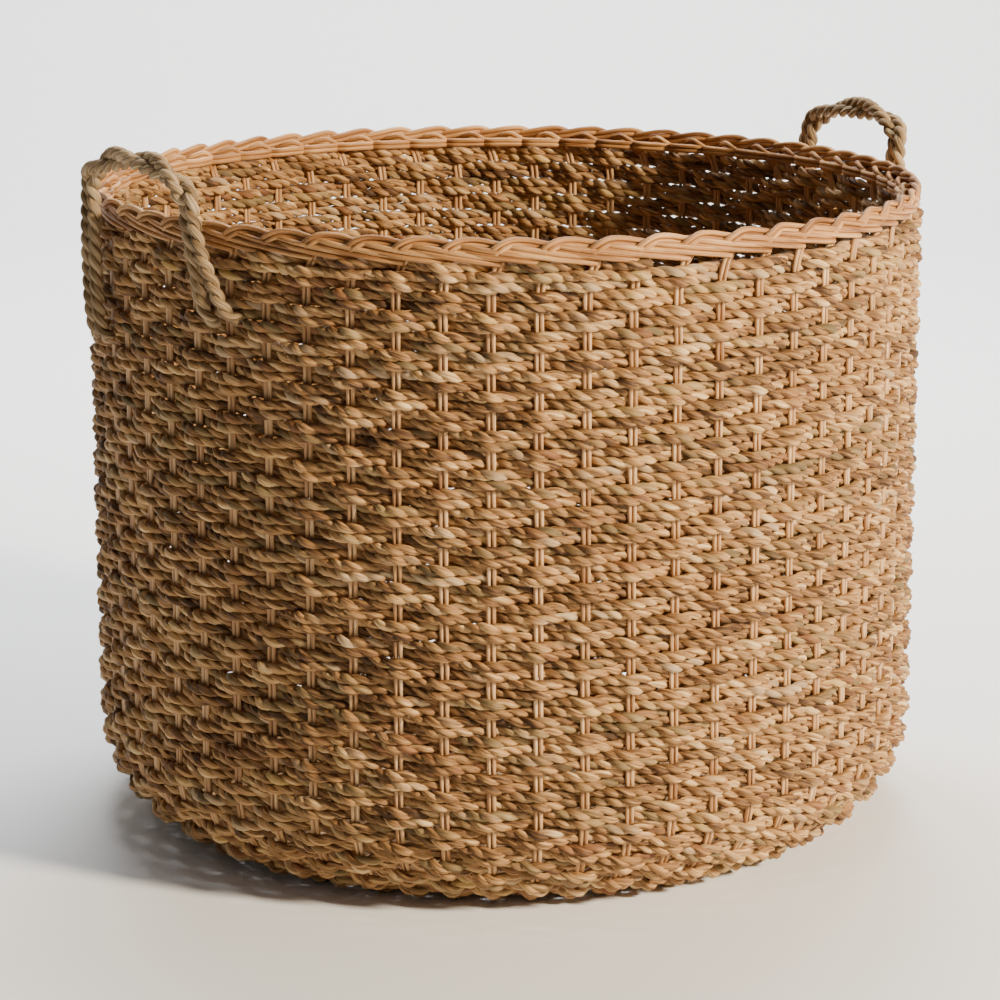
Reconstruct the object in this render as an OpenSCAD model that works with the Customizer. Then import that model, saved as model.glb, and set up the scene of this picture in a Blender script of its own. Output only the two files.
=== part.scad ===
// Round seagrass storage basket on paired rattan stakes, with a plaited cane rim
// and two rope handles. Millimetres, +Z up, origin on the floor under the centre.

/* [Basket] */
// Outside diameter of the woven wall
basket_d = 500; // [460:5:540]
// Height of the top of the rim above the floor
basket_h = 388; // [370:1:410]
// Centre-line radius of the rounded heel between base and wall
heel_r = 56.6; // [50:0.2:62]
// How far the middle of the base is pushed up off the floor
base_lift = 3; // [2:0.5:4]

/* [Weave] */
// Thickness of one seagrass rope, half the height of a course
rope_d = 5.375; // [5.2:0.025:5.5]
// Number of stake positions round the basket, odd so that the weave alternates
stake_pairs = 59; // [55:2:63]
// Thickness of one rattan cane
cane_d = 2.6; // [2.2:0.1:2.8]
// Radius at which the stakes start, inside the base
stake_start_r = 64; // [60:1:80]
// Angle of the first stake pair
stake_turn = 3; // [0:0.5:6]

/* [Base sticks] */
// Thickness of a base stick
stick_d = 4.6; // [4:0.1:5]
// Number of base sticks in each layer
stick_count = 6; // [4:1:6]
// Length of a base stick
stick_len = 124; // [100:2:126]

/* [Rim] */
// Height of the plaited border
border_h = 13; // [12:0.5:15]
// Thickness of the plaited border
border_w = 11.6; // [10:0.2:12]
// Drop from the rim's top to the upper inner cane
inner_drop = 8.6; // [8:0.2:10]

/* [Handles] */
// Thickness of the handle rope, two cords twisted together
handle_d = 14; // [12:0.5:15]
// Distance between the middles of the left handle's two feet
left_span = 122; // [110:2:140]
// Distance between the middles of the right handle's two feet
right_span = 96; // [90:2:140]
// Height of the left arch above its hinge line
left_rise = 23; // [17:1:30]
// Height of the right arch above its hinge line
right_rise = 19; // [17:1:30]
// Radius of the arch's shoulders
shoulder_r = 12; // [10:1:14]
// How far the arch leans outwards at rest
handle_lean = 12; // [0:1:20]
// How far both handles sit round towards the front of the basket
handle_turn = 4; // [0:1:6]
// Thickness of each tail that a foot splits into
tail_d = 7.8; // [7:0.2:8.4]
// Drop from the rim's top to where the front tails are tucked in
front_drop = 50; // [46:1:60]
// Drop from the rim's top to where the back tails are tucked in
back_drop = 78; // [60:1:90]

/* [Hidden] */
$fn = 64;
BANDS = [for (i = [1:10]) str("wall_weave_", i)];
HEELS = [for (i = [1:2]) str("heel_weave_", i)];
BASES = [for (i = [1:3]) str("base_weave_", i)];

rope_r = rope_d / 2;
cane_r = cane_d / 2;
// ropes lie one cane radius plus one rope radius either side of the stakes
weave_offset = cane_r + rope_r - 0.03;
weave_half = weave_offset + rope_r;
// the seam between two courses: how deep, and how far up a course it reaches
seam_depth = 1;
seam_share = 0.2;
// the lowest rope is worn this much flat
foot_flat = 0.05;
stake_ring_r = basket_d / 2 - weave_half;
stake_floor_z = weave_half - foot_flat;
heel_centre_r = stake_ring_r - heel_r;
heel_centre_z = stake_floor_z + heel_r;
border_z = basket_h - border_h;
rounds_per_course = 2;
course_h = rope_d * rounds_per_course;
wall_courses = floor((border_z - heel_centre_z) / course_h);
courses_per_band = 3;
wall_z = border_z - wall_courses * course_h;
base_courses = 5;
base_z = stake_floor_z + base_lift;
base_edge_r = heel_centre_r - 0.5;
stake_gap = 0.2;
layer_gap = 0.2;
// each length of a joined rope is this much thicker than the one that enters it
joint_extra = 0.15;

foot_r = basket_d / 2 + handle_d / 2 + 1.25;
handle_r = handle_d / 2;
ball_r = handle_r + 2 * joint_extra;
hinge_z = basket_h + ball_r;
hinge_gap = 0.3;
joint_lap = 3;
leg_bottom_z = basket_h - 20;

// one side of the outline of a stack of courses, which narrows at each seam
function course_side(side, count) = [for (k = [0:count]) each [
    if (k > 0) [side * weave_half, (k - seam_share) * course_h],
    [side * (weave_half - seam_depth), k * course_h],
    if (k < count) [side * weave_half, (k + seam_share) * course_h]]];

function reversed(list) = [for (i = [len(list) - 1:-1:0]) list[i]];

// the outline of count courses of doubled rope, solid round the stakes inside it
module weave_courses(count) {
    polygon(concat(course_side(1, count), reversed(course_side(-1, count))));
}

function reach(angle) = 2 * heel_r * [cos(angle), sin(angle)];

// the outline of a stretch of the rounded heel, from angle start through sweep
module heel_arc(start, sweep) {
    intersection() {
        difference() {
            circle(r = heel_r + weave_half);
            circle(r = heel_r - weave_half);
        }
        polygon([[0, 0], reach(start), reach(start + sweep / 2), reach(start + sweep)]);
    }
}

module wall_weave(i) {
    first = (i - 1) * courses_per_band;
    last = min(i * courses_per_band, wall_courses);
    color("peru") rotate_extrude()
        translate([stake_ring_r, wall_z + first * course_h]) weave_courses(last - first);
}

module heel_weave(i) {
    sweep = 90 / len(HEELS);
    color("darkgoldenrod") rotate_extrude() intersection() {
        translate([heel_centre_r, heel_centre_z]) heel_arc((i - 1) * sweep - 90, sweep);
        square([basket_d, basket_h]);
    }
}

module base_weave(i) {
    color("tan") rotate_extrude()
        translate([base_edge_r - (i - 1) * base_courses * course_h, base_z]) rotate(90)
            weave_courses(base_courses);
}

// one layer of parallel sticks along X, the middle of the layer at height z
module stick_layer(z) {
    pitch = stick_d + layer_gap;
    for (k = [0:stick_count - 1])
        translate([-stick_len / 2, (k - (stick_count - 1) / 2) * pitch, z])
            rotate([0, 90, 0]) cylinder(d = stick_d, h = stick_len);
}

module base_sticks_under() {
    color("burlywood") stick_layer(base_z - (stick_d + layer_gap) / 2);
}

module base_sticks_over() {
    color("burlywood") rotate([0, 0, 90]) stick_layer(base_z + (stick_d + layer_gap) / 2);
}

// a cane that runs out under the base, round the heel and up the wall
module stake_cane() {
    translate([stake_start_r, 0, stake_floor_z]) rotate([0, 90, 0])
        cylinder(r = cane_r, h = heel_centre_r - stake_start_r);
    translate([heel_centre_r, 0, heel_centre_z]) rotate([90, 0, 0])
        rotate([0, 0, -90]) rotate_extrude(angle = 90)
            translate([heel_r, 0]) circle(r = cane_r);
    translate([stake_ring_r, 0, heel_centre_z])
        cylinder(r = cane_r, h = border_z - heel_centre_z);
}

module stakes() {
    side_step = (cane_d + stake_gap) / 2;
    color("sandybrown") for (k = [0:stake_pairs - 1], side = [-1, 1])
        rotate([0, 0, stake_turn + k * 360 / stake_pairs])
            translate([0, side * side_step, 0]) stake_cane();
}

module rim_border() {
    color("sandybrown") rotate_extrude() translate([stake_ring_r, 0]) {
        translate([0, basket_h - border_w / 2]) circle(d = border_w);
        translate([-border_w / 2, border_z + stake_gap])
            square([border_w, border_h - border_w / 2 - stake_gap]);
    }
}

module rim_inner_canes() {
    ring_r = stake_ring_r - border_w / 2 - cane_r - stake_gap / 2;
    color("burlywood") rotate_extrude() for (row = [0, 1])
        translate([ring_r, basket_h - inner_drop - row * (cane_d + stake_gap)])
            circle(r = cane_r);
}

// a stretch of rope of radius r bent in the YZ plane, from angle start through sweep
module rope_bend(r, bend_r, start, sweep) {
    rotate([90, 0, 90]) rotate([0, 0, start]) rotate_extrude(angle = sweep)
        translate([bend_r, 0]) circle(r = r);
}

// the arch, which tilts about the line through the tops of its feet
module handle_arch(span, rise) {
    hinge_x = sqrt(foot_r * foot_r - span * span / 4);
    shoulder_y = span / 2 - shoulder_r;
    crown_r = (shoulder_y * shoulder_y + rise * rise - shoulder_r * shoulder_r)
        / (2 * (rise - shoulder_r));
    shoulder_sweep = atan2(crown_r - rise, shoulder_y);
    lapped = shoulder_sweep - joint_lap;
    shoulder_rope = handle_r + joint_extra;
    translate([hinge_x, 0, hinge_z]) rotate([0, handle_lean, 0]) {
        translate([0, 0, rise - crown_r])
            rope_bend(handle_r, crown_r, lapped, 180 - 2 * lapped);
        translate([0, shoulder_y, 0]) rope_bend(shoulder_rope, shoulder_r, 0, shoulder_sweep);
        translate([0, -shoulder_y, 0])
            rope_bend(shoulder_rope, shoulder_r, 180 - shoulder_sweep, shoulder_sweep);
        for (side = [-1, 1]) translate([0, side * span / 2, 0]) sphere(r = ball_r);
    }
}

// one tail from the leg down to the wall, leaning sideways by spread
module tail(drop, spread) {
    top_z = leg_bottom_z + 2;
    end_z = basket_h - drop;
    tail_r = tail_d / 2;
    inward = 3;
    run = top_z - end_z;
    slope = atan2(norm([spread, inward]), run);
    length = norm([spread, inward, run]);
    translate([foot_r, 0, top_z])
        rotate([0, 0, atan2(spread, -inward)]) rotate([0, 180 - slope, 0])
            cylinder(r = tail_r, h = length);
    translate([foot_r - inward, spread, end_z]) sphere(r = tail_r + joint_extra);
}

module foot(drop) {
    translate([foot_r, 0, leg_bottom_z])
        cylinder(r = handle_r, h = hinge_z - ball_r - hinge_gap - leg_bottom_z);
    translate([foot_r, 0, leg_bottom_z]) sphere(r = handle_r + joint_extra);
    for (side = [-1, 1]) tail(drop, side * tail_d * 1.1);
}

module handle_feet(span) {
    foot_angle = asin(span / 2 / foot_r);
    rotate([0, 0, -foot_angle]) foot(front_drop);
    rotate([0, 0, foot_angle]) foot(back_drop);
}

module handle_right() {
    color("darkkhaki") rotate([0, 0, -handle_turn]) handle_arch(right_span, right_rise);
}

module handle_right_feet() {
    color("darkkhaki") rotate([0, 0, -handle_turn]) handle_feet(right_span);
}

module handle_left() {
    color("darkkhaki") mirror([1, 0, 0]) rotate([0, 0, -handle_turn])
        handle_arch(left_span, left_rise);
}

module handle_left_feet() {
    color("darkkhaki") mirror([1, 0, 0]) rotate([0, 0, -handle_turn])
        handle_feet(left_span);
}

base_sticks_under();
base_sticks_over();
stakes();
for (i = [1:len(BASES)]) base_weave(i);
for (i = [1:len(HEELS)]) heel_weave(i);
for (i = [1:len(BANDS)]) wall_weave(i);
rim_border();
rim_inner_canes();
handle_left();
handle_left_feet();
handle_right();
handle_right_feet();
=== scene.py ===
"""A round storage basket: seagrass rope woven on rattan canes, with two rope handles."""

import math

import bpy
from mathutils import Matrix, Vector


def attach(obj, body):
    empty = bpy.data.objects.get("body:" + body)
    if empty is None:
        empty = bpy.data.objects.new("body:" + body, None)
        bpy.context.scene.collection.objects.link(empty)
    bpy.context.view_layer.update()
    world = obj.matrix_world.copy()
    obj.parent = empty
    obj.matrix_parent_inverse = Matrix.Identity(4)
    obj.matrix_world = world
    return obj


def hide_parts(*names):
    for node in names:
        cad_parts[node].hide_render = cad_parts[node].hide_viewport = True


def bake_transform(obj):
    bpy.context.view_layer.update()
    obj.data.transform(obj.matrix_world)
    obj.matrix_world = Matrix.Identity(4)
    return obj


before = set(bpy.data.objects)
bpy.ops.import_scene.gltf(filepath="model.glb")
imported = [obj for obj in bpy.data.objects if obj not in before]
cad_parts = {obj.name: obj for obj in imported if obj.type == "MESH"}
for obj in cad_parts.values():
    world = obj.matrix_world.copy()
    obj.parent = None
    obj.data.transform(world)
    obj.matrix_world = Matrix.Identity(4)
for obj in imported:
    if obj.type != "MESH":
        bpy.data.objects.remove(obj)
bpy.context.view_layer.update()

# ---------------------------------------------------------------- base sticks
# Two crossed layers of six peeled rattan sticks, the start of the base. Each
# stick is a cut length, a little uneven, and the first ropes hold the cross.


class Wire:
    """What comes out of a node. Sums on wires add their Math nodes to the tree."""

    def __init__(self, bench, socket):
        self.bench = bench
        self.socket = socket

    def maths(self, operation, *values):
        return self.bench.add("ShaderNodeMath", {"operation": operation}, values)

    def vector(self, operation, *values):
        settings = {"operation": operation}
        return self.bench.add("ShaderNodeVectorMath", settings, [self, *values])

    def out(self, name):
        """Another output of the same node."""
        shown = [s for s in self.socket.node.outputs if s.enabled and s.name == name]
        return Wire(self.bench, shown[0])

    def __add__(self, other):
        return self.maths("ADD", self, other)

    def __radd__(self, other):
        return self.maths("ADD", other, self)

    def __sub__(self, other):
        return self.maths("SUBTRACT", self, other)

    def __rsub__(self, other):
        return self.maths("SUBTRACT", other, self)

    def __mul__(self, other):
        return self.maths("MULTIPLY", self, other)

    def __rmul__(self, other):
        return self.maths("MULTIPLY", other, self)

    def __truediv__(self, other):
        return self.maths("DIVIDE", self, other)

    def __pow__(self, other):
        return self.maths("POWER", self, other)

    def cos(self):
        return self.maths("COSINE", self)

    def sin(self):
        return self.maths("SINE", self)

    def floor(self):
        return self.maths("FLOOR", self)

    def at_least(self, limit):
        return self.maths("MAXIMUM", self, limit)

    def at_most(self, limit):
        return self.maths("MINIMUM", self, limit)

    def ramp(self, low, high):
        """0 below low, 1 above high, with a smooth rise between them."""
        settings = {"interpolation_type": "SMOOTHSTEP"}
        return self.bench.add("ShaderNodeMapRange", settings, [self, low, high, 0.0, 1.0])


class Bench:
    """A node tree being put together, for a shape or for a finish."""

    def __init__(self, tree):
        self.tree = tree
        self.knobs = {}

    def add(self, kind, settings=None, feeds=()):
        """A node of that kind: its settings first, then its sockets by name or place."""
        node = self.tree.nodes.new(kind)
        for name, value in (settings or {}).items():
            if name == "stops":
                self.set_stops(node.color_ramp, value)
            else:
                setattr(node, name, value)
        shown = [s for s in node.inputs if s.enabled]
        pairs = feeds.items() if isinstance(feeds, dict) else enumerate(feeds)
        for key, value in pairs:
            named = [s for s in shown if s.name == key]
            socket = named[0] if named else shown[key]
            if isinstance(value, Wire):
                self.tree.links.new(value.socket, socket)
            else:
                socket.default_value = value
        outputs = [s for s in node.outputs if s.enabled]
        return Wire(self, outputs[0]) if outputs else None

    def set_stops(self, scale, stops):
        while len(scale.elements) < len(stops):
            scale.elements.new(1.0)
        for element, (place, colour) in zip(scale.elements, stops):
            element.position = place
            element.color = (*colour, 1.0)

    def knob(self, label, value):
        """A named input of a shape's tree."""
        kinds = {int: "Int", float: "Float", tuple: "Vector"}
        item = self.tree.interface.new_socket(
            label, in_out="INPUT", socket_type="NodeSocket" + kinds[type(value)]
        )
        item.default_value = value
        self.knobs[label] = item.identifier
        return self.add("NodeGroupInput").out(label)

    def joined(self, x, y, z):
        return self.add("ShaderNodeCombineXYZ", {}, [x, y, z])

    def noise(self, x, y, z, detail=2.0):
        """Smooth noise about 0.5 at a place given in the noise's own lengths."""
        feeds = {"Vector": self.joined(x, y, z), "Scale": 1.0, "Detail": detail}
        return self.add("ShaderNodeTexNoise", {}, feeds)


def shape_bench(name):
    """An empty tree for a shape. Its first input is the mesh that it starts from."""
    tree = bpy.data.node_groups.new(name, "GeometryNodeTree")
    tree.interface.new_socket("Path", in_out="INPUT", socket_type="NodeSocketGeometry")
    tree.interface.new_socket("Made", in_out="OUTPUT", socket_type="NodeSocketGeometry")
    return Bench(tree)


def copies(bench, curve, count):
    """count copies of a curve, and the number of each copy."""
    made = bench.add(
        "GeometryNodeDuplicateElements",
        {"domain": "SPLINE"},
        {"Geometry": curve, "Amount": count},
    )
    return made, made.out("Duplicate Index")


def even_line(bench, count):
    """A line of count points, and the number of each point along it."""
    line = bench.add("GeometryNodeCurvePrimitiveLine", {}, {"End": (1.0, 0.0, 0.0)})
    line = bench.add("GeometryNodeResampleCurve", {}, {"Curve": line, "Count": count})
    return line, bench.add("GeometryNodeSplineParameter").out("Index")


def placed(bench, curve, place):
    feeds = {"Geometry": curve, "Position": place}
    return bench.add("GeometryNodeSetPosition", {}, feeds)


def marked(bench, geometry, name, value):
    """Keeps a value on every point, for the finish to read."""
    settings = {"data_type": "FLOAT_VECTOR", "domain": "POINT"}
    feeds = {"Geometry": geometry, "Name": name, "Value": value}
    return bench.add("GeometryNodeStoreNamedAttribute", settings, feeds)


def round_section(bench, curve, radius, sides, along, number, finish):
    """Gives the curves a round section and a finish, and ends the tree.

    Every point keeps how far along its own strand it is, in metres, with the
    strand's number, and which way round the section it faces.
    """
    curve = marked(bench, curve, "strand_along", bench.joined(along, number, 0.0))
    ring = bench.add(
        "GeometryNodeCurvePrimitiveCircle", {}, {"Resolution": sides, "Radius": 1.0}
    )
    ring = marked(bench, ring, "strand_across", bench.add("GeometryNodeInputPosition"))
    feeds = {"Curve": curve, "Profile Curve": ring, "Scale": radius, "Fill Caps": True}
    mesh = bench.add("GeometryNodeCurveToMesh", {}, feeds)
    mesh = bench.add("GeometryNodeSetShadeSmooth", {}, {"Geometry": mesh})
    mesh = bench.add("GeometryNodeRealizeInstances", {}, {"Geometry": mesh})
    mesh = bench.add(
        "GeometryNodeSetMaterial", {}, {"Geometry": mesh, "Material": finish}
    )
    bench.add("NodeGroupOutput", {}, {"Made": mesh})


def made_piece(name, bench, sizes, path=None):
    """Runs a shape's tree once with these sizes and keeps the result as a plain mesh."""
    former = bpy.data.objects.new("former", path or bpy.data.meshes.new("former"))
    bpy.context.scene.collection.objects.link(former)
    modifier = former.modifiers.new("make", "NODES")
    modifier.node_group = bench.tree
    for label, value in sizes.items():
        modifier[bench.knobs[label]] = value
    graph = bpy.context.evaluated_depsgraph_get()
    mesh = bpy.data.meshes.new_from_object(
        former.evaluated_get(graph), preserve_all_data_layers=True, depsgraph=graph
    )
    mesh.name = name
    piece = bpy.data.objects.new(name, mesh)
    bpy.context.scene.collection.objects.link(piece)
    bpy.data.objects.remove(former)
    return piece


def new_finish(name):
    material = bpy.data.materials.new(name)
    material.use_nodes = True
    material.node_tree.nodes.clear()
    return material, Bench(material.node_tree)


def attribute(bench, name):
    """The first two numbers of a value kept on the points."""
    read = bench.add("ShaderNodeAttribute", {"attribute_name": name}).out("Vector")
    parts = bench.add("ShaderNodeSeparateXYZ", {}, [read])
    return parts, parts.out("Y")


def shaded(bench, colour, roughness, height, depth, specular):
    """Ends a finish: a surface with raised grain."""
    normal = bench.add(
        "ShaderNodeBump", {}, {"Strength": 0.8, "Distance": depth, "Height": height}
    )
    surface = bench.add(
        "ShaderNodeBsdfPrincipled",
        {},
        {
            "Base Color": colour,
            "Roughness": roughness,
            "Normal": normal,
            "Specular IOR Level": specular,
        },
    )
    bench.add("ShaderNodeOutputMaterial", {}, {"Surface": surface})


def blended(bench, kind, factor, a, b):
    """Two colours mixed in one of Blender's ways."""
    settings = {"data_type": "RGBA", "blend_type": kind}
    return bench.add("ShaderNodeMix", settings, {"Factor": factor, "A": a, "B": b})


def cane_finish(name, stops, seed):
    """Peeled rattan: pale, close-grained, with darker lengths and fine pores."""
    material, bench = new_finish(name)
    along, number = attribute(bench, "strand_along")
    round_x, round_y = attribute(bench, "strand_across")
    patch = bench.noise(along * 16.0, number * 3.7 + seed, 0.0, 2.0)
    grain = bench.noise(
        along * 25.0 + number * 1.9, round_x * 3.0 + number, round_y * 3.0, 4.0
    )
    pore = bench.noise(along * 130.0, round_x * 7.0 + number, round_y * 7.0, 2.0)
    tone = patch * 0.5 + grain * 0.5
    colour = bench.add(
        "ShaderNodeValToRGB", {"stops": stops}, {"Fac": (tone - 0.5) * 4.4 + 0.5}
    )
    shade = pore.ramp(0.32, 0.62) * 0.35 + 0.65
    dark = bench.add("ShaderNodeCombineColor", {}, [shade, shade, shade])
    colour = blended(bench, "MULTIPLY", 0.7, colour, dark)
    rough = 0.42 + grain * 0.25
    shaded(bench, colour, rough, grain * 0.7 + pore * 0.3, 0.0003, 0.4)
    return material


STICK_RADIUS = 0.0023
STICK_LENGTH = 0.124
STICK_PITCH = 0.0048
STICKS_IN_LAYER = 6
STICK_LAYER_HEIGHTS = (0.007195, 0.011995)

stick_cane = cane_finish(
    "peeled_stick",
    [
        (0.0, (0.22, 0.10, 0.04)),
        (0.4, (0.40, 0.22, 0.10)),
        (0.7, (0.52, 0.32, 0.15)),
        (1.0, (0.62, 0.42, 0.23)),
    ],
    4.0,
)


def stick_shape():
    """A layer of parallel sticks at one height, turned to lie along X or Y."""
    bench = shape_bench("base_stick_layer")
    height = bench.knob("Height", 0.01)
    turn = bench.knob("Turn", 0.0)
    line, step = even_line(bench, 24)
    sticks, number = copies(bench, line, STICKS_IN_LAYER)
    along = step * (STICK_LENGTH / 23.0) - STICK_LENGTH / 2.0
    bow = bench.noise(along * 12.0, number * 5.3, turn * 3.0) - 0.5
    side = (number - (STICKS_IN_LAYER - 1) / 2.0) * STICK_PITCH + bow * 0.0004
    x = along * turn.cos() - side * turn.sin()
    y = along * turn.sin() + side * turn.cos()
    sticks = placed(bench, sticks, bench.joined(x, y, height + bow * 0.0003))
    radius = STICK_RADIUS * (0.97 + bench.noise(along * 20.0, number * 2.1, turn) * 0.06)
    round_section(bench, sticks, radius, 16, along, number + turn, stick_cane)
    return bench


stick_bench = stick_shape()
for name, height, turn in (
    ("base_sticks_under", STICK_LAYER_HEIGHTS[0], 0.0),
    ("base_sticks_over", STICK_LAYER_HEIGHTS[1], math.pi / 2.0),
):
    layer = made_piece("peeled_" + name, stick_bench, {"Height": height, "Turn": turn})
    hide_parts(name)
    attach(layer, "root")

# ---------------------------------------------------------------- base weave
# Seagrass rope of two strands, laid two ropes to a course. It starts round the
# arms of the cross, then goes over two and under two stakes, and then over one
# and under one out to the heel. It is one continuous spiral.

STAKES = 59
FIRST_STAKE = math.radians(3.0)
ROPE = 0.005375
COURSE = 2.0 * ROPE
WEAVE_OFFSET = 0.0039575
HEEL = 0.0566
RING = 0.243355
HEEL_CENTRE = RING - HEEL
HEEL_HEIGHT = 0.063195
BASE_LIFT = 0.003
QUARTER = math.pi / 2.0
WALL_START = HEEL * QUARTER
# how far up a course the rope is when it starts up the wall
SPIRAL_START = 0.353
BORDER_BOTTOM = 0.375
WALL_END = WALL_START + BORDER_BOTTOM - HEEL_HEIGHT
TOP_COURSE = WALL_END - ROPE
STRANDS_IN_COURSE = 4
# one whole twist of two strands round each other
TWIST = 0.0165
# how far the rope swings in and out of the stakes, and how sharply it turns back:
# below zero the wave is pointed, above zero it is flat-topped
SWING = WEAVE_OFFSET * 0.92
PINCH = -0.11


def basket_line(bench, run):
    """Where the stakes' centre line is, a distance run out from the edge of the base.

    Gives its radius, its height and its slope round the heel, from 0 to a
    quarter turn. It is below zero in the base, and past WALL_START in the wall.
    """
    slope = (run / HEEL).at_least(0.0).at_most(QUARTER)
    radius = HEEL_CENTRE + run.at_most(0.0) + HEEL * slope.sin()
    lift = BASE_LIFT * (run * -1.0).ramp(0.0, 0.035)
    height = HEEL_HEIGHT - HEEL * slope.cos() + (run - WALL_START).at_least(0.0) + lift
    return radius, height, slope


def seagrass_finish():
    """Dried seagrass: straw, olive, grey-green and brown lengths with fine ribs."""
    material, bench = new_finish("seagrass")
    along, number = attribute(bench, "strand_along")
    round_x, round_y = attribute(bench, "strand_across")
    leaf = bench.noise(along * 14.0 + number * 9.1, number * 7.3, 0.0, 2.0)
    tint = bench.noise(along * 9.0 + number * 3.3, number * 5.9 + 40.0, 3.0, 1.0)
    blade = bench.noise(along * 75.0, round_x * 1.2 + number * 4.1, round_y * 1.2, 3.0)
    rib = bench.noise(along * 60.0, round_x * 5.0 + number, round_y * 5.0, 3.0)
    tone = (leaf * 0.42 + blade * 0.40 + rib * 0.18 - 0.5) * 5.2 + 0.5
    straw = bench.add(
        "ShaderNodeValToRGB",
        {
            "stops": [
                (0.0, (0.060, 0.025, 0.007)),
                (0.22, (0.160, 0.074, 0.024)),
                (0.45, (0.305, 0.155, 0.054)),
                (0.68, (0.460, 0.250, 0.094)),
                (0.88, (0.610, 0.370, 0.155)),
                (1.0, (0.760, 0.540, 0.270)),
            ]
        },
        {"Fac": tone},
    )
    colour = blended(
        bench, "MIX", tint.ramp(0.54, 0.70) * 0.6, straw, (0.19, 0.150, 0.065, 1.0)
    )
    grey = tint.ramp(0.46, 0.30) * leaf.ramp(0.48, 0.58) * 0.6
    colour = blended(bench, "MIX", grey, colour, (0.42, 0.33, 0.215, 1.0))
    red = tint.ramp(0.44, 0.30) * leaf.ramp(0.50, 0.40) * 0.5
    colour = blended(bench, "MIX", red, colour, (0.33, 0.135, 0.055, 1.0))
    gold = leaf.ramp(0.60, 0.72) * tint.ramp(0.45, 0.6) * 0.6
    colour = blended(bench, "MIX", gold, colour, (0.58, 0.36, 0.10, 1.0))
    rough = 0.50 + blade * 0.25
    shaded(bench, colour, rough, rib * 0.65 + blade * 0.35, 0.0012, 0.35)
    return material


seagrass = seagrass_finish()


def rope_shape():
    """A stretch of the spiral of doubled rope, between two numbers of turns."""
    bench = shape_bench("woven_rope")
    first = bench.knob("First turn", 0.0)
    last = bench.knob("Last turn", 3.0)
    points = bench.knob("Points on a strand", 2000)
    sides = bench.knob("Sides of a strand", 6)
    crossings = bench.knob("Stakes in a turn", float(STAKES))
    shift = bench.knob("Start of the wave", math.pi)
    opposed = bench.knob("Second rope's shift", 0.0)
    swing = bench.knob("Swing", SWING)
    flat = bench.knob("Flatness of the wave", PINCH)
    twist = bench.knob("Length of one twist", TWIST)
    strand_radius = bench.knob("Strand radius", 0.00213)

    line, step = even_line(bench, points)
    strands, number = copies(bench, line, STRANDS_IN_COURSE)
    rope = (number / 2.0).floor()
    ply = number - rope * 2.0
    share = step / (points - 1.0)
    turn = first + share * (last - first)
    angle = turn * math.tau + FIRST_STAKE
    course = (WALL_START + (turn + SPIRAL_START) * COURSE).at_most(TOP_COURSE)
    run = course + (rope - 0.5) * ROPE
    radius, height, slope = basket_line(bench, run)

    bit = radius * math.tau * (last - first) / (points - 1.0)
    length = bench.add(
        "GeometryNodeAccumulateField",
        {"data_type": "FLOAT", "domain": "POINT"},
        {"Value": bit, "Group ID": number},
    )
    seed = rope * 3.7 + first * 1.31
    wave = turn * (math.pi * crossings) + shift + rope * opposed
    across = swing * (wave.cos() - flat * (wave * 3.0).cos())
    steep = (
        swing * (crossings * -0.5) * (wave.sin() - 3.0 * flat * (wave * 3.0).sin()) / radius
    )
    upright = (steep * steep + 1.0) ** 0.5

    loose = bench.noise(length * 14.0, seed, 1.0) - 0.5
    lay = ply * math.pi - length * math.tau / twist + loose * 5.0 + rope * QUARTER
    apart = ROPE * 0.25
    out_wobble = (bench.noise(length * 30.0, seed, 5.0) - 0.5) * 0.0012
    up_wobble = (bench.noise(length * 22.0, seed, 9.0) - 0.5) * 0.0009
    out = across + out_wobble + apart * lay.cos() / upright
    up = up_wobble + apart * lay.sin()
    forward = steep * apart * lay.cos() / upright * -1.0

    fullness = bench.noise(length * 38.0, number * 4.4 + seed, 20.0, 1.0)
    # a strand is pressed thin where it dives behind its fellow
    proud = lay.cos() * lay.cos() * 0.20 + 0.92
    # and it swells where it bears on a stake
    swollen = wave.cos() * wave.cos() * 0.15 + 0.95
    thick = strand_radius * (0.80 + fullness * 0.40) * proud * swollen

    place_r = radius + out * slope.sin() + up * slope.cos()
    place_z = (height - out * slope.cos() + up * slope.sin()).at_least(thick)
    place_angle = angle + forward / radius
    place = bench.joined(
        place_r * place_angle.cos(), place_r * place_angle.sin(), place_z
    )
    strands = placed(bench, strands, place)
    strand_number = number + first * 2.3
    round_section(bench, strands, thick, sides, length, strand_number, seagrass)
    return bench


rope_bench = rope_shape()


def woven_piece(node, sizes):
    """One stretch of the weave, which stands for that node."""
    woven = made_piece("rope_" + node, rope_bench, sizes)
    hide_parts(node)
    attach(woven, "root")


HEEL_TURNS = WALL_START / COURSE
# node, courses in from the heel to its inner and outer edges, points, crossings in
# a turn, start of the wave, second rope's shift, swing and flatness
BASE_BANDS = (
    ("base_weave_3", 15.5, 10.0, 990, 4.0, 0.6, math.pi, 0.0044, 0.12),
    ("base_weave_2", 10.0, 5.0, 1900, STAKES / 2.0, math.pi / 4.0, 0.0, 0.0047, 0.2),
    ("base_weave_1", 5.0, 0.0, 2600, float(STAKES), math.pi, 0.0, SWING, PINCH),
)
for node, inner, outer, points, crossings, shift, opposed, swing, flat in BASE_BANDS:
    woven_piece(
        node,
        {
            "First turn": -HEEL_TURNS - inner,
            "Last turn": -HEEL_TURNS - outer,
            "Points on a strand": points,
            "Stakes in a turn": crossings,
            "Start of the wave": shift,
            "Second rope's shift": opposed,
            "Swing": swing,
            "Flatness of the wave": flat,
        },
    )

# ---------------------------------------------------------------- stakes
# 59 pairs of round rattan canes. They run out under the base, round the heel
# and up the wall, and the rope is woven in and out of them.

CANE = 0.0013
PAIR_HALF = 0.0014
STAKE_START = 0.064 - HEEL_CENTRE
STAKE_POINTS = 84
LEAN_LENGTH = 0.022

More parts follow.
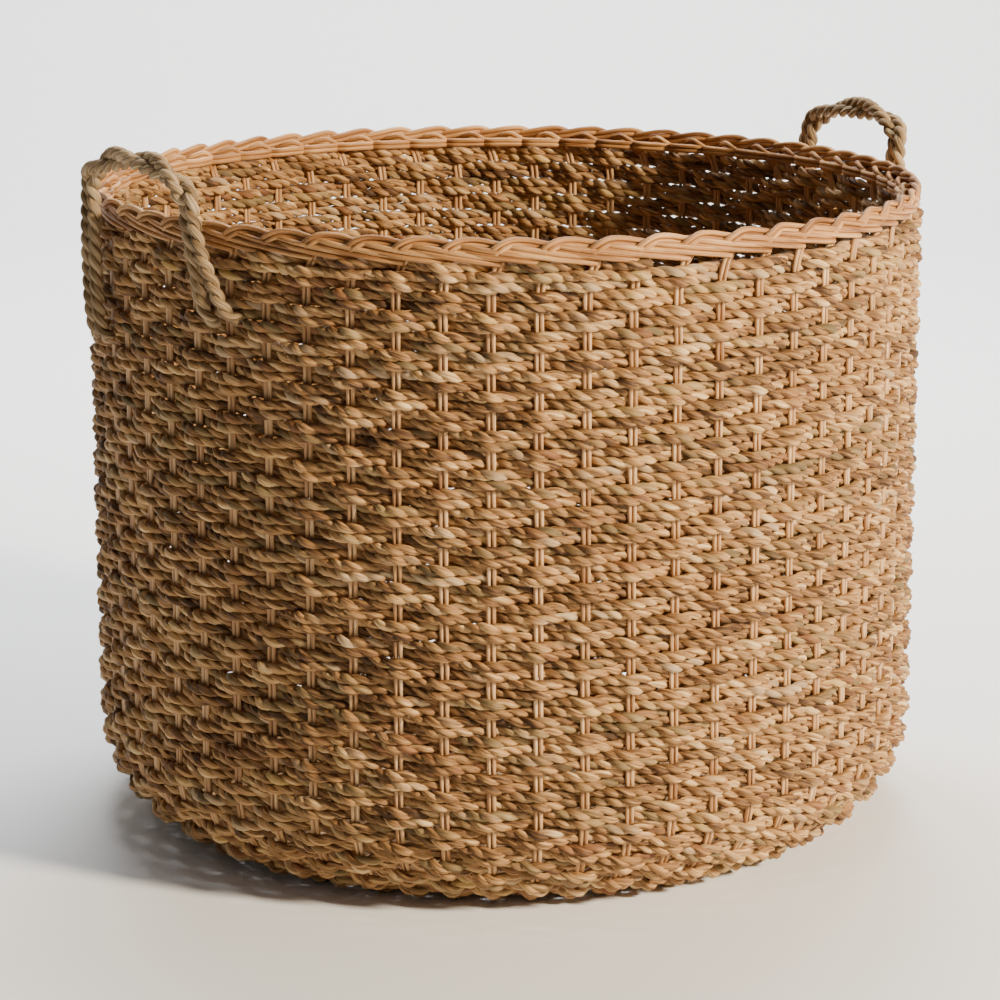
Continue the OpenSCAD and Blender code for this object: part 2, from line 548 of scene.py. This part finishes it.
stake_rattan = cane_finish(
    "stake_rattan",
    [
        (0.0, (0.31, 0.140, 0.050)),
        (0.35, (0.50, 0.270, 0.115)),
        (0.7, (0.66, 0.400, 0.190)),
        (1.0, (0.80, 0.550, 0.300)),
    ],
    8.0,
)
# the border's canes are darker from soaking and bending
rattan = cane_finish(
    "rattan",
    [
        (0.0, (0.19, 0.074, 0.020)),
        (0.35, (0.40, 0.180, 0.056)),
        (0.7, (0.54, 0.268, 0.092)),
        (1.0, (0.72, 0.410, 0.170)),
    ],
    0.0,
)


def stake_shape():
    """All the stakes, from inside the base to the border, leaning at the top."""
    bench = shape_bench("paired_stakes")
    pairs = bench.knob("Stake pairs", STAKES)
    lean = bench.knob("Lean at the top", 0.005)
    line, step = even_line(bench, STAKE_POINTS)
    canes, number = copies(bench, line, pairs * 2.0)
    pair = (number / 2.0).floor()
    side = (number - pair * 2.0) * 2.0 - 1.0
    share = step / (STAKE_POINTS - 1.0)
    run = STAKE_START + share * (WALL_END - STAKE_START)
    radius, height, slope = basket_line(bench, run)
    near_top = (1.0 - (WALL_END - run) / LEAN_LENGTH).at_least(0.0)
    wander = (bench.noise(run * 14.0, pair * 3.1, 2.0) - 0.5) * 0.0016
    split = (bench.noise(run * 25.0, number * 3.1, 7.0) - 0.5) * 0.0004
    aside = side * PAIR_HALF + wander + split + lean * near_top * near_top
    depth = (bench.noise(run * 25.0, number * 1.7, 4.0) - 0.5) * 0.0004
    angle = FIRST_STAKE + pair * math.tau / pairs + aside / radius
    out_r = radius + depth * slope.sin()
    place = bench.joined(
        out_r * angle.cos(), out_r * angle.sin(), height - depth * slope.cos()
    )
    canes = placed(bench, canes, place)
    thick = CANE * (0.93 + bench.noise(run * 8.0, number * 2.9, 11.0) * 0.14)
    round_section(bench, canes, thick, 6, run, number, stake_rattan)
    return bench


stakes = made_piece("cane_stakes", stake_shape(), {"Stake pairs": STAKES})
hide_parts("stakes")
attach(stakes, "root")

# ---------------------------------------------------------------- heel weave
# The same rope goes on round the rounded heel, over one and under one stake, where
# the stakes bend up into the wall. It is made in two equal stretches.

HEEL_BANDS = 2
for band in range(HEEL_BANDS):
    start = -HEEL_TURNS + band * HEEL_TURNS / HEEL_BANDS
    woven_piece(
        f"heel_weave_{band + 1}",
        {
            "First turn": start,
            "Last turn": start + HEEL_TURNS / HEEL_BANDS,
            "Points on a strand": 3000,
        },
    )

# ---------------------------------------------------------------- wall weave
# The rope climbs the wall in nearly 29 courses of two ropes each, over one and under
# one stake. Ten stretches of three courses; the last is shorter, pressed up
# under the border.

WALL_TURNS = 28.7
WALL_BANDS = 10
COURSES_IN_BAND = 3
POINTS_IN_COURSE = 740
for band in range(WALL_BANDS):
    start = band * COURSES_IN_BAND
    stop = min(start + COURSES_IN_BAND, WALL_TURNS)
    woven_piece(
        f"wall_weave_{band + 1}",
        {
            "First turn": float(start),
            "Last turn": float(stop),
            "Points on a strand": round(POINTS_IN_COURSE * (stop - start)),
        },
    )

# ---------------------------------------------------------------- rim border
# The stakes' own ends, laid down in pairs to the right. Each pair passes inside
# the next stakes, comes up over the pair before it, runs along the top and goes
# down outside to be tucked in three stakes on.

# how far on round the rim in stakes, how far out from the ring of stakes and
# how high above the foot of the border, in millimetres
BORDER_WAY = (
    (-0.85, 0.0, -2.5),
    (-0.74, -1.2, 0.6),
    (-0.62, -3.6, 3.6),
    (-0.48, -5.0, 6.0),
    (-0.34, -4.0, 7.2),
    (-0.20, -1.6, 6.0),
    (-0.04, 1.9, 4.6),
    (0.10, 4.2, 6.6),
    (0.24, 4.4, 9.0),
    (0.46, 2.6, 10.7),
    (0.78, 1.2, 10.2),
    (1.1, 1.6, 8.6),
    (1.6, 3.9, 6.4),
    (2.2, 4.3, 4.0),
    (2.8, 3.8, 1.9),
    (3.2, 1.6, 0.4),
)


def way_mesh(name, points, **kept):
    """A line of points joined in order, with values kept on them."""
    mesh = bpy.data.meshes.new(name)
    mesh.from_pydata(points, [(i, i + 1) for i in range(len(points) - 1)], [])
    for label, values in kept.items():
        mesh.attributes.new(label, "FLOAT", "POINT").data.foreach_set("value", values)
    return mesh


def smooth_way(bench, settings, feeds):
    """The tree's starting line as a smooth curve with even points."""
    path = bench.add("NodeGroupInput").out("Path")
    curve = bench.add("GeometryNodeMeshToCurve", {}, [path])
    curve = bench.add(
        "GeometryNodeCurveSplineType", {"spline_type": "CATMULL_ROM"}, {"Curve": curve}
    )
    return bench.add("GeometryNodeResampleCurve", settings, {"Curve": curve, **feeds})


def rim_cane_shape(name, finish):
    """One cane's way, repeated in pairs at every stake and bent round the rim."""
    bench = shape_bench(name)
    points = bench.knob("Points on a cane", 44)
    half = bench.knob("Half the step in a pair", 0.0015)
    uneven = bench.knob("Unevenness", 0.0012)
    girth = bench.knob("Radius of a cane", 0.0015)
    curve = smooth_way(bench, {}, {"Count": points})
    canes, number = copies(bench, curve, STAKES * 2)
    pair = (number / 2.0).floor()
    side = (number - pair * 2.0) * 2.0 - 1.0
    way = bench.add("ShaderNodeSeparateXYZ", {}, [bench.add("GeometryNodeInputPosition")])
    heading = bench.add(
        "ShaderNodeSeparateXYZ", {}, [bench.add("GeometryNodeInputTangent")]
    )
    along, up = heading, heading.out("Z")
    level = (along * along + up * up + 0.000001) ** 0.5
    spline = bench.add("GeometryNodeSplineParameter").out("Length")
    stray = (bench.noise(spline * 30.0, pair * 3.3, 1.0) - 0.5) * uneven
    lift = (bench.noise(spline * 30.0, pair * 2.7, 6.0) - 0.5) * uneven
    step = way + (side * half * -1.0 * up / level) + stray * 1.5
    radius = RING + way.out("Y") + stray
    height = way.out("Z") + BORDER_BOTTOM + side * half * along / level + lift
    angle = FIRST_STAKE + (pair + 1.0) * (math.tau / STAKES) + step / RING
    place = bench.joined(radius * angle.cos(), radius * angle.sin(), height)
    canes = placed(bench, canes, place)
    thick = girth * (0.95 + bench.noise(spline * 20.0, number * 2.3, 3.0) * 0.16)
    round_section(bench, canes, thick, 8, spline, number + 200.0, finish)
    return bench


STAKE_STEP = math.tau * RING / STAKES


def rim_way(name, way):
    """A cane's way in metres from one given in stakes and millimetres."""
    return way_mesh(
        name, [(u * STAKE_STEP, out / 1000.0, up / 1000.0) for u, out, up in way]
    )


border_bench = rim_cane_shape("border_canes", rattan)
border = made_piece("cane_border", border_bench, {}, rim_way("border_way", BORDER_WAY))
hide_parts("rim_border")
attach(border, "root")

# ---------------------------------------------------------------- inner canes
# Short pairs of canes wedged along the inside of the border, each lapping the
# next, which hold the bent-over stakes in place.

INNER_WAY = (
    (-0.66, -3.6, 2.8),
    (-0.50, -6.2, 3.0),
    (-0.20, -7.1, 3.1),
    (0.10, -6.9, 3.1),
    (0.26, -4.6, 3.0),
    (0.33, -3.0, 2.9),
)
inner = made_piece(
    "cane_inner_band",
    border_bench,
    {"Points on a cane": 18, "Half the step in a pair": 0.0014},
    rim_way("inner_way", INNER_WAY),
)
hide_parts("rim_inner_canes")
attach(inner, "root")

# ---------------------------------------------------------------- handles
# Each handle is two thick cords of two strands, twisted loosely together. The
# ends pass down outside the rim and are tucked into the wall, the front pair
# spread apart and the back pair side by side.

FOOT_REACH = 258.25
HINGE_HEIGHT = 395.3
HANDLE_LEAN = math.tan(math.radians(12.0))
HANDLE_TURN = math.radians(4.0)
CORD_RADIUS = 0.00385
WALL_RADIUS = 250.0
# which side, half the span between the feet, the rise above the hinge, the half
# turns of the cords and how far in the front leg leans at its top
HANDLES = {
    "handle_right": (1.0, 48.0, 19.0, 2.0, 0.0),
    "handle_left": (-1.0, 61.0, 23.0, 3.0, 12.0),
}
# how far each arch is pulled towards the front at its top
ARCH_PULL = 6.0

# how far off the wall, height, and half the gap between the cords
FRONT_TAIL = (
    (-5.0, 334.0, 10.6),
    (0.5, 337.0, 10.2),
    (4.2, 345.0, 9.2),
    (6.0, 356.0, 7.2),
    (7.4, 368.0, 4.8),
    (8.2, 379.0, 3.9),
    (8.25, 390.0, 3.8),
)
BACK_TAIL = (
    (8.25, 390.0, 3.8),
    (8.6, 378.0, 3.9),
    (8.8, 362.0, 4.0),
    (8.6, 345.0, 4.0),
    (8.0, 328.0, 4.1),
    (6.0, 315.0, 4.2),
    (1.0, 308.5, 4.3),
)
ARCH_POINTS = 11
ARCH_SWEEP = math.radians(80.0)
ARCH_GAP = 3.2


def cord_finish():
    """The handles' cord: the same seagrass, greyer and duller from handling."""
    material, bench = new_finish("handle_seagrass")
    along, number = attribute(bench, "strand_along")
    round_x, round_y = attribute(bench, "strand_across")
    leaf = bench.noise(along * 22.0 + number * 9.1, number * 7.3, 0.0, 2.0)
    blade = bench.noise(along * 50.0, round_x * 2.2 + number * 4.1, round_y * 2.2, 3.0)
    rib = bench.noise(along * 70.0, round_x * 9.0 + number, round_y * 9.0, 3.0)
    tone = (leaf * 0.35 + blade * 0.40 + rib * 0.25 - 0.5) * 4.4 + 0.5
    colour = bench.add(
        "ShaderNodeValToRGB",
        {
            "stops": [
                (0.0, (0.060, 0.034, 0.014)),
                (0.25, (0.170, 0.105, 0.047)),
                (0.5, (0.300, 0.195, 0.096)),
                (0.75, (0.440, 0.310, 0.170)),
                (1.0, (0.620, 0.470, 0.290)),
            ]
        },
        {"Fac": tone},
    )
    rough = 0.55 + blade * 0.25
    shaded(bench, colour, rough, rib * 0.7 + blade * 0.3, 0.0008, 0.3)
    return material


cord_seagrass = cord_finish()


def handle_way(side, half_span, rise, half_turns, front_in):
    """The middle of one handle's rope from the front tail to the back tail.

    side is 1 for the handle at +X and -1 for the other. Gives the line with the
    cords' half gap and the angle of their twist. front_in is how far the top of the
    front leg leans in from its foot.
    """
    spots = []
    low, high = FRONT_TAIL[0][1], FRONT_TAIL[-1][1]
    for off, height, gap in FRONT_TAIL:
        along = front_in * (height - low) / (high - low) - half_span
        x = math.sqrt((WALL_RADIUS + off) ** 2 - along**2)
        spots.append((x, along, height, gap, 0.0))
    front_x = math.sqrt(FOOT_REACH**2 - (half_span - front_in) ** 2)
    back_x = math.sqrt(FOOT_REACH**2 - half_span**2)
    for k in range(ARCH_POINTS):
        share = k / (ARCH_POINTS - 1.0)
        sweep = ARCH_SWEEP * (2.0 * share - 1.0)
        lifted = rise * math.cos(sweep)
        reach = half_span - front_in / 2.0
        along = front_in / 2.0 + reach * math.sin(sweep) - ARCH_PULL * math.cos(sweep)
        x = front_x + (back_x - front_x) * share + lifted * HANDLE_LEAN
        spots.append((x, along, HINGE_HEIGHT + lifted, ARCH_GAP, share))
    for off, height, gap in BACK_TAIL:
        x = math.sqrt((WALL_RADIUS + off) ** 2 - half_span**2)
        spots.append((x, half_span, height, gap, 1.0))
    cosine, sine = math.cos(HANDLE_TURN), math.sin(HANDLE_TURN)
    points, gaps, turns = [], [], []
    for x, y, height, gap, turned in spots:
        across, along = x * cosine + y * sine, y * cosine - x * sine
        points.append((side * across / 1000.0, along / 1000.0, height / 1000.0))
        gaps.append(gap / 1000.0)
        turns.append(math.pi / 2.0 + turned * half_turns * math.pi)
    return way_mesh("handle_way", points, half_gap=gaps, cord_turn=turns)


def kept_value(bench, name):
    """A number kept on the points."""
    settings = {"data_type": "FLOAT"}
    return bench.add("GeometryNodeInputNamedAttribute", settings, {"Name": name})


def round_offset(bench, facing, distance, turn):
    """A step of that distance off a curve, at an angle from the way it faces."""
    tangent = bench.add("GeometryNodeInputTangent")
    aside = tangent.vector("CROSS_PRODUCT", facing).vector("NORMALIZE")
    front = aside.vector("CROSS_PRODUCT", tangent).vector("NORMALIZE")
    front = front.vector("SCALE", distance * turn.cos())
    aside = aside.vector("SCALE", distance * turn.sin())
    return front.vector("ADD", aside)


def handle_shape():
    """Two cords laid round the handle's line, each of two strands laid round the cord."""
    bench = shape_bench("handle_cords")
    facing = bench.knob("Way it faces", (1.0, 0.0, 0.0))
    seed = bench.knob("Seed", 0.0)
    curve = smooth_way(bench, {"mode": "LENGTH"}, {"Length": 0.0012})
    cords, cord = copies(bench, curve, 2)
    turn = kept_value(bench, "cord_turn") + cord * math.pi
    feeds = {
        "Geometry": cords,
        "Offset": round_offset(bench, facing, kept_value(bench, "half_gap"), turn),
    }
    cords = bench.add("GeometryNodeSetPosition", {}, feeds)
    cords = marked(bench, cords, "cord_number", bench.joined(cord, 0.0, 0.0))
    strands, ply = copies(bench, cords, 2)
    length = bench.add("GeometryNodeSplineParameter").out("Length")
    which = bench.add(
        "GeometryNodeInputNamedAttribute",
        {"data_type": "FLOAT_VECTOR"},
        {"Name": "cord_number"},
    )
    which = bench.add("ShaderNodeSeparateXYZ", {}, [which])
    loose = bench.noise(length * 20.0, which * 7.0 + seed, 2.0) - 0.5
    lay = ply * math.pi - length * (math.tau / TWIST) + which * 1.3 + loose * 2.2
    gap = CORD_RADIUS * 0.47
    feeds = {"Geometry": strands, "Offset": round_offset(bench, facing, gap, lay)}
    strands = bench.add("GeometryNodeSetPosition", {}, feeds)
    number = which * 2.0 + ply + seed
    full = bench.noise(length * 50.0, number * 4.4, 20.0, 1.0)
    thick = CORD_RADIUS * 0.62 * (0.86 + full * 0.28)
    round_section(bench, strands, thick, 12, length, number, cord_seagrass)
    return bench


handle_bench = handle_shape()
for name, (side, half_span, rise, half_turns, front_in) in HANDLES.items():
    facing = Vector((side * math.cos(HANDLE_TURN), -math.sin(HANDLE_TURN), 0.0))
    sizes = {"Way it faces": tuple(facing), "Seed": 10.0 + side * 5.0}
    way = handle_way(side, half_span, rise, half_turns, front_in)
    rope = made_piece("rope_" + name, handle_bench, sizes, way)
    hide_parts(name, name + "_feet")
    hinge = facing * math.sqrt(FOOT_REACH**2 - half_span**2) / 1000.0
    hinge.z = HINGE_HEIGHT / 1000.0
    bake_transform(rope)

# ---------------------------------------------------------------- the room
# A pale floor that curves up into the wall behind, a warm main light from the
# right, a weak one overhead, one for the wall behind, and the camera.


def floor_finish():
    material, bench = new_finish("pale_floor")
    surface = bench.add(
        "ShaderNodeBsdfPrincipled",
        {},
        {"Base Color": (0.92, 0.945, 0.97, 1.0), "Roughness": 0.8},
    )
    bench.add("ShaderNodeOutputMaterial", {}, {"Surface": surface})
    return material


AWAY = Vector((1.101, 1.6697, 0.0)).normalized()
ASIDE = Vector((AWAY.y, -AWAY.x, 0.0))


FLOOR_DEPTH = 2.2
BEND = 1.2
BEND_STEPS = 12


def sweep_mesh():
    """The floor and the wall behind as one bent sheet, at right angles to the view."""
    outline = [(-6.0, 0.0), (FLOOR_DEPTH, 0.0)]
    for k in range(1, BEND_STEPS + 1):
        a = k / BEND_STEPS * QUARTER
        outline.append((FLOOR_DEPTH + BEND * math.sin(a), BEND - BEND * math.cos(a)))
    outline.append((FLOOR_DEPTH + BEND, 6.0))
    points = []
    for far, up in outline:
        for side in (-7.0, 7.0):
            points.append(AWAY * far + ASIDE * side + Vector((0.0, 0.0, up)))
    faces = [(2 * i, 2 * i + 1, 2 * i + 3, 2 * i + 2) for i in range(len(outline) - 1)]
    mesh = bpy.data.meshes.new("floor")
    mesh.from_pydata(points, [], faces)
    mesh.polygons.foreach_set("use_smooth", [True] * len(mesh.polygons))
    return mesh


floor = bpy.data.objects.new("floor", sweep_mesh())
floor.data.materials.append(floor_finish())
bpy.context.scene.collection.objects.link(floor)


def soft_light(name, place, size, power, colour, target=Vector((0.0, 0.0, 0.18))):
    lamp = bpy.data.lights.new(name, "AREA")
    lamp.shape = "DISK"
    lamp.size = size
    lamp.energy = power
    lamp.color = colour
    holder = bpy.data.objects.new(name, lamp)
    holder.location = place
    aim = target - place
    holder.rotation_euler = aim.to_track_quat("-Z", "Y").to_euler()
    bpy.context.scene.collection.objects.link(holder)


RIGHT_FRONT = ASIDE * 2.4 - AWAY * 1.5 + Vector((0.0, 0.0, 1.45))
OVERHEAD = AWAY * 0.2 + Vector((0.0, 0.0, 3.0))
soft_light("main_light", RIGHT_FRONT, 0.45, 234.0, (1.0, 0.84, 0.62))
soft_light("top_light", OVERHEAD, 1.8, 7.0, (1.0, 0.99, 0.97))
BEHIND = AWAY * 1.0 + Vector((0.0, 0.0, 2.4))
soft_light("wall_light", BEHIND, 1.5, 170.0, (1.0, 1.0, 1.0), AWAY * 3.2)

world = bpy.data.worlds.new("room")
bpy.context.scene.world = world
world.use_nodes = True
sky = world.node_tree.nodes["Background"]
sky.inputs["Color"].default_value = (0.96, 0.97, 1.0, 1.0)
sky.inputs["Strength"].default_value = 0.10

CAMERA_PLACE = Vector((-1.101, -1.6697, 0.66155))
CAMERA_DIP = math.radians(13.34)
camera = bpy.data.objects.new("camera", bpy.data.cameras.new("camera"))
camera.data.lens = 120.18
camera.data.sensor_width = 36.0
camera.data.shift_x = -0.0046
camera.data.clip_end = 100.0
camera.location = CAMERA_PLACE
sight = AWAY * math.cos(CAMERA_DIP) - Vector((0.0, 0.0, math.sin(CAMERA_DIP)))
camera.rotation_euler = sight.to_track_quat("-Z", "Y").to_euler()
bpy.context.scene.collection.objects.link(camera)
bpy.context.scene.camera = camera
